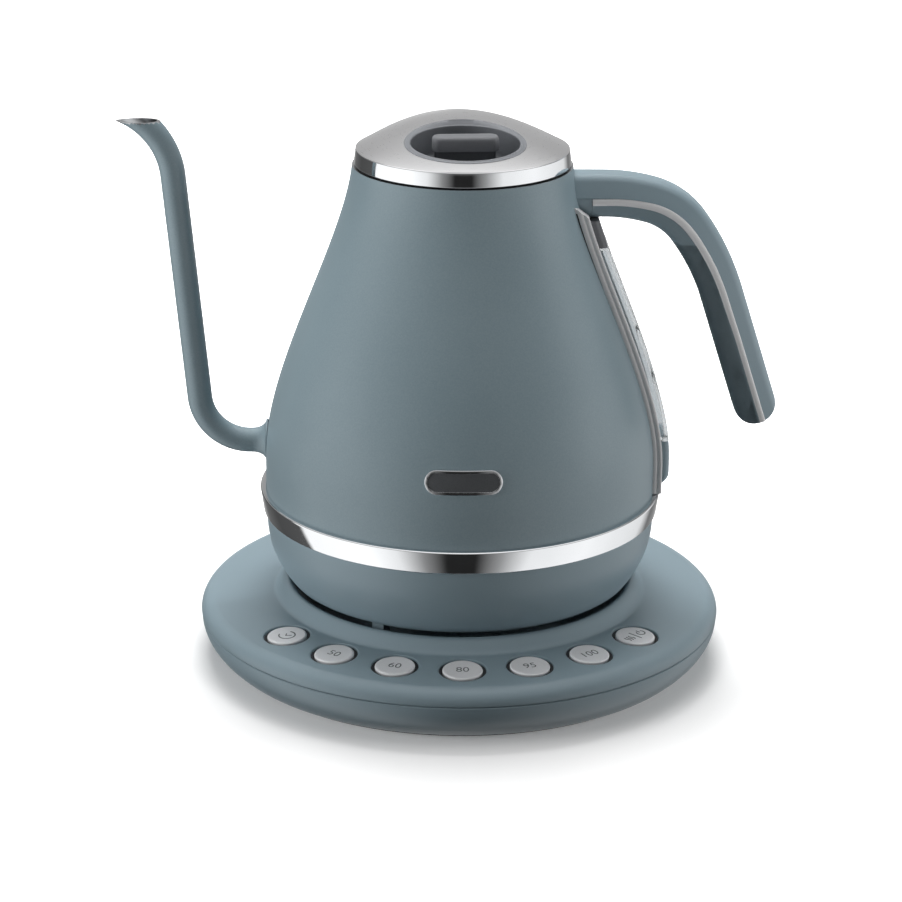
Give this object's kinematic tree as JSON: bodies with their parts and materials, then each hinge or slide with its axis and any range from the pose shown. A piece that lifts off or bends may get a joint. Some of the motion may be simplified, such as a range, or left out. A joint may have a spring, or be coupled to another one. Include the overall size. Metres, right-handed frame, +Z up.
{
  "type": "electric gooseneck kettle",
  "caption": "Electric pour-over kettle with a thin gooseneck spout, side handle, water gauge and lift-off lid, on a round heating base with push buttons",
  "frame": {"origin": "middle of the face that the foot ring stands on", "axes": "+Z up along the kettle's axis, -Y to the front with the buttons, spout to -X, handle to +X"},
  "size_m": [0.2588, 0.2096, 0.2165],
  "materials": {
    "body_paint": "satin paint with a fine grain",
    "satin_plastic": "smooth satin",
    "chrome": "polished",
    "brushed_lid": "brushed across",
    "inner_steel": "plain",
    "aluminium": "plain",
    "brass": "plain",
    "dark_plastic": "satin",
    "rubber": "matt",
    "circuit_board": "lacquered",
    "button_silver": "satin silver",
    "clear_window": "clear",
    "print": "printed"
  },
  "bodies": {
    "base": {"base_tray": "satin_plastic", "base_cover": "satin_plastic", "foot_ring": "rubber", "base_screws": "inner_steel", "base_connector": "dark_plastic", "base_contacts": "brass", "control_board": "circuit_board", "tact_switches": "dark_plastic", "board_screws": "inner_steel", "power_board": "circuit_board", "cord_gland": "rubber", "button_gaskets": "rubber"},
    "kettle": {"vessel": "body_paint", "chrome_band": "chrome", "skirt": "satin_plastic", "bottom_cover": "satin_plastic", "bottom_screws": "inner_steel", "rest_feet": "satin_plastic", "heater_plate": "inner_steel", "heat_spreader": "aluminium", "heating_element": "inner_steel", "thermal_cutout": "dark_plastic", "temperature_probe": "inner_steel", "kettle_connector": "dark_plastic", "kettle_contacts": "brass", "spout_tube": "body_paint", "handle_outer": "satin_plastic", "handle_inner": "satin_plastic", "handle_trim": "chrome", "handle_collar": "satin_plastic", "handle_bracket": "inner_steel", "handle_screws": "inner_steel", "gauge_frame": "chrome", "gauge_seal": "rubber", "gauge_window": "clear_window", "gauge_upper_block": "dark_plastic", "gauge_lower_block": "satin_plastic", "gauge_ports": "rubber", "gauge_marks": "print", "badge_rim": "chrome", "badge_plate": "dark_plastic"},
    "lid": {"lid_shell": "brushed_lid", "lid_ring": "chrome", "lid_cup": "dark_plastic", "lid_grip": "dark_plastic", "lid_liner": "dark_plastic", "lid_seal": "rubber", "lid_screws": "inner_steel"},
    "key_keep_warm": {"button_1": "button_silver"},
    "key_preset_a": {"button_2": "button_silver"},
    "key_preset_b": {"button_3": "button_silver"},
    "key_preset_c": {"button_4": "button_silver"},
    "key_preset_d": {"button_5": "button_silver"},
    "key_preset_e": {"button_6": "button_silver"},
    "key_start_stop": {"button_7": "button_silver"}
  },
  "joints": [
    {"name": "kettle_lift", "type": "slide", "parent": "base", "child": "kettle", "axis": [0, 0, 1], "range_m": [0, 0.1]},
    {"name": "lid_lift", "type": "slide", "parent": "kettle", "child": "lid", "axis": [0, 0, 1], "range_m": [0, 0.08]},
    {"name": "press_keep_warm", "type": "slide", "parent": "base", "child": "key_keep_warm", "axis": [0.0524, 0.0406, -0.9978], "range_m": [0, 0.001], "stiffness_N_per_m": 400},
    {"name": "press_preset_a", "type": "slide", "parent": "base", "child": "key_preset_a", "axis": [0.0378, 0.0544, -0.9978], "range_m": [0, 0.001], "stiffness_N_per_m": 400},
    {"name": "press_preset_b", "type": "slide", "parent": "base", "child": "key_preset_b", "axis": [0.0198, 0.0632, -0.9978], "range_m": [0, 0.001], "stiffness_N_per_m": 400},
    {"name": "press_preset_c", "type": "slide", "parent": "base", "child": "key_preset_c", "axis": [0, 0.0663, -0.9978], "range_m": [0, 0.001], "stiffness_N_per_m": 400},
    {"name": "press_preset_d", "type": "slide", "parent": "base", "child": "key_preset_d", "axis": [-0.0198, 0.0632, -0.9978], "range_m": [0, 0.001], "stiffness_N_per_m": 400},
    {"name": "press_preset_e", "type": "slide", "parent": "base", "child": "key_preset_e", "axis": [-0.0378, 0.0544, -0.9978], "range_m": [0, 0.001], "stiffness_N_per_m": 400},
    {"name": "press_start_stop", "type": "slide", "parent": "base", "child": "key_start_stop", "axis": [-0.0524, 0.0406, -0.9978], "range_m": [0, 0.001], "stiffness_N_per_m": 400}
  ]
}
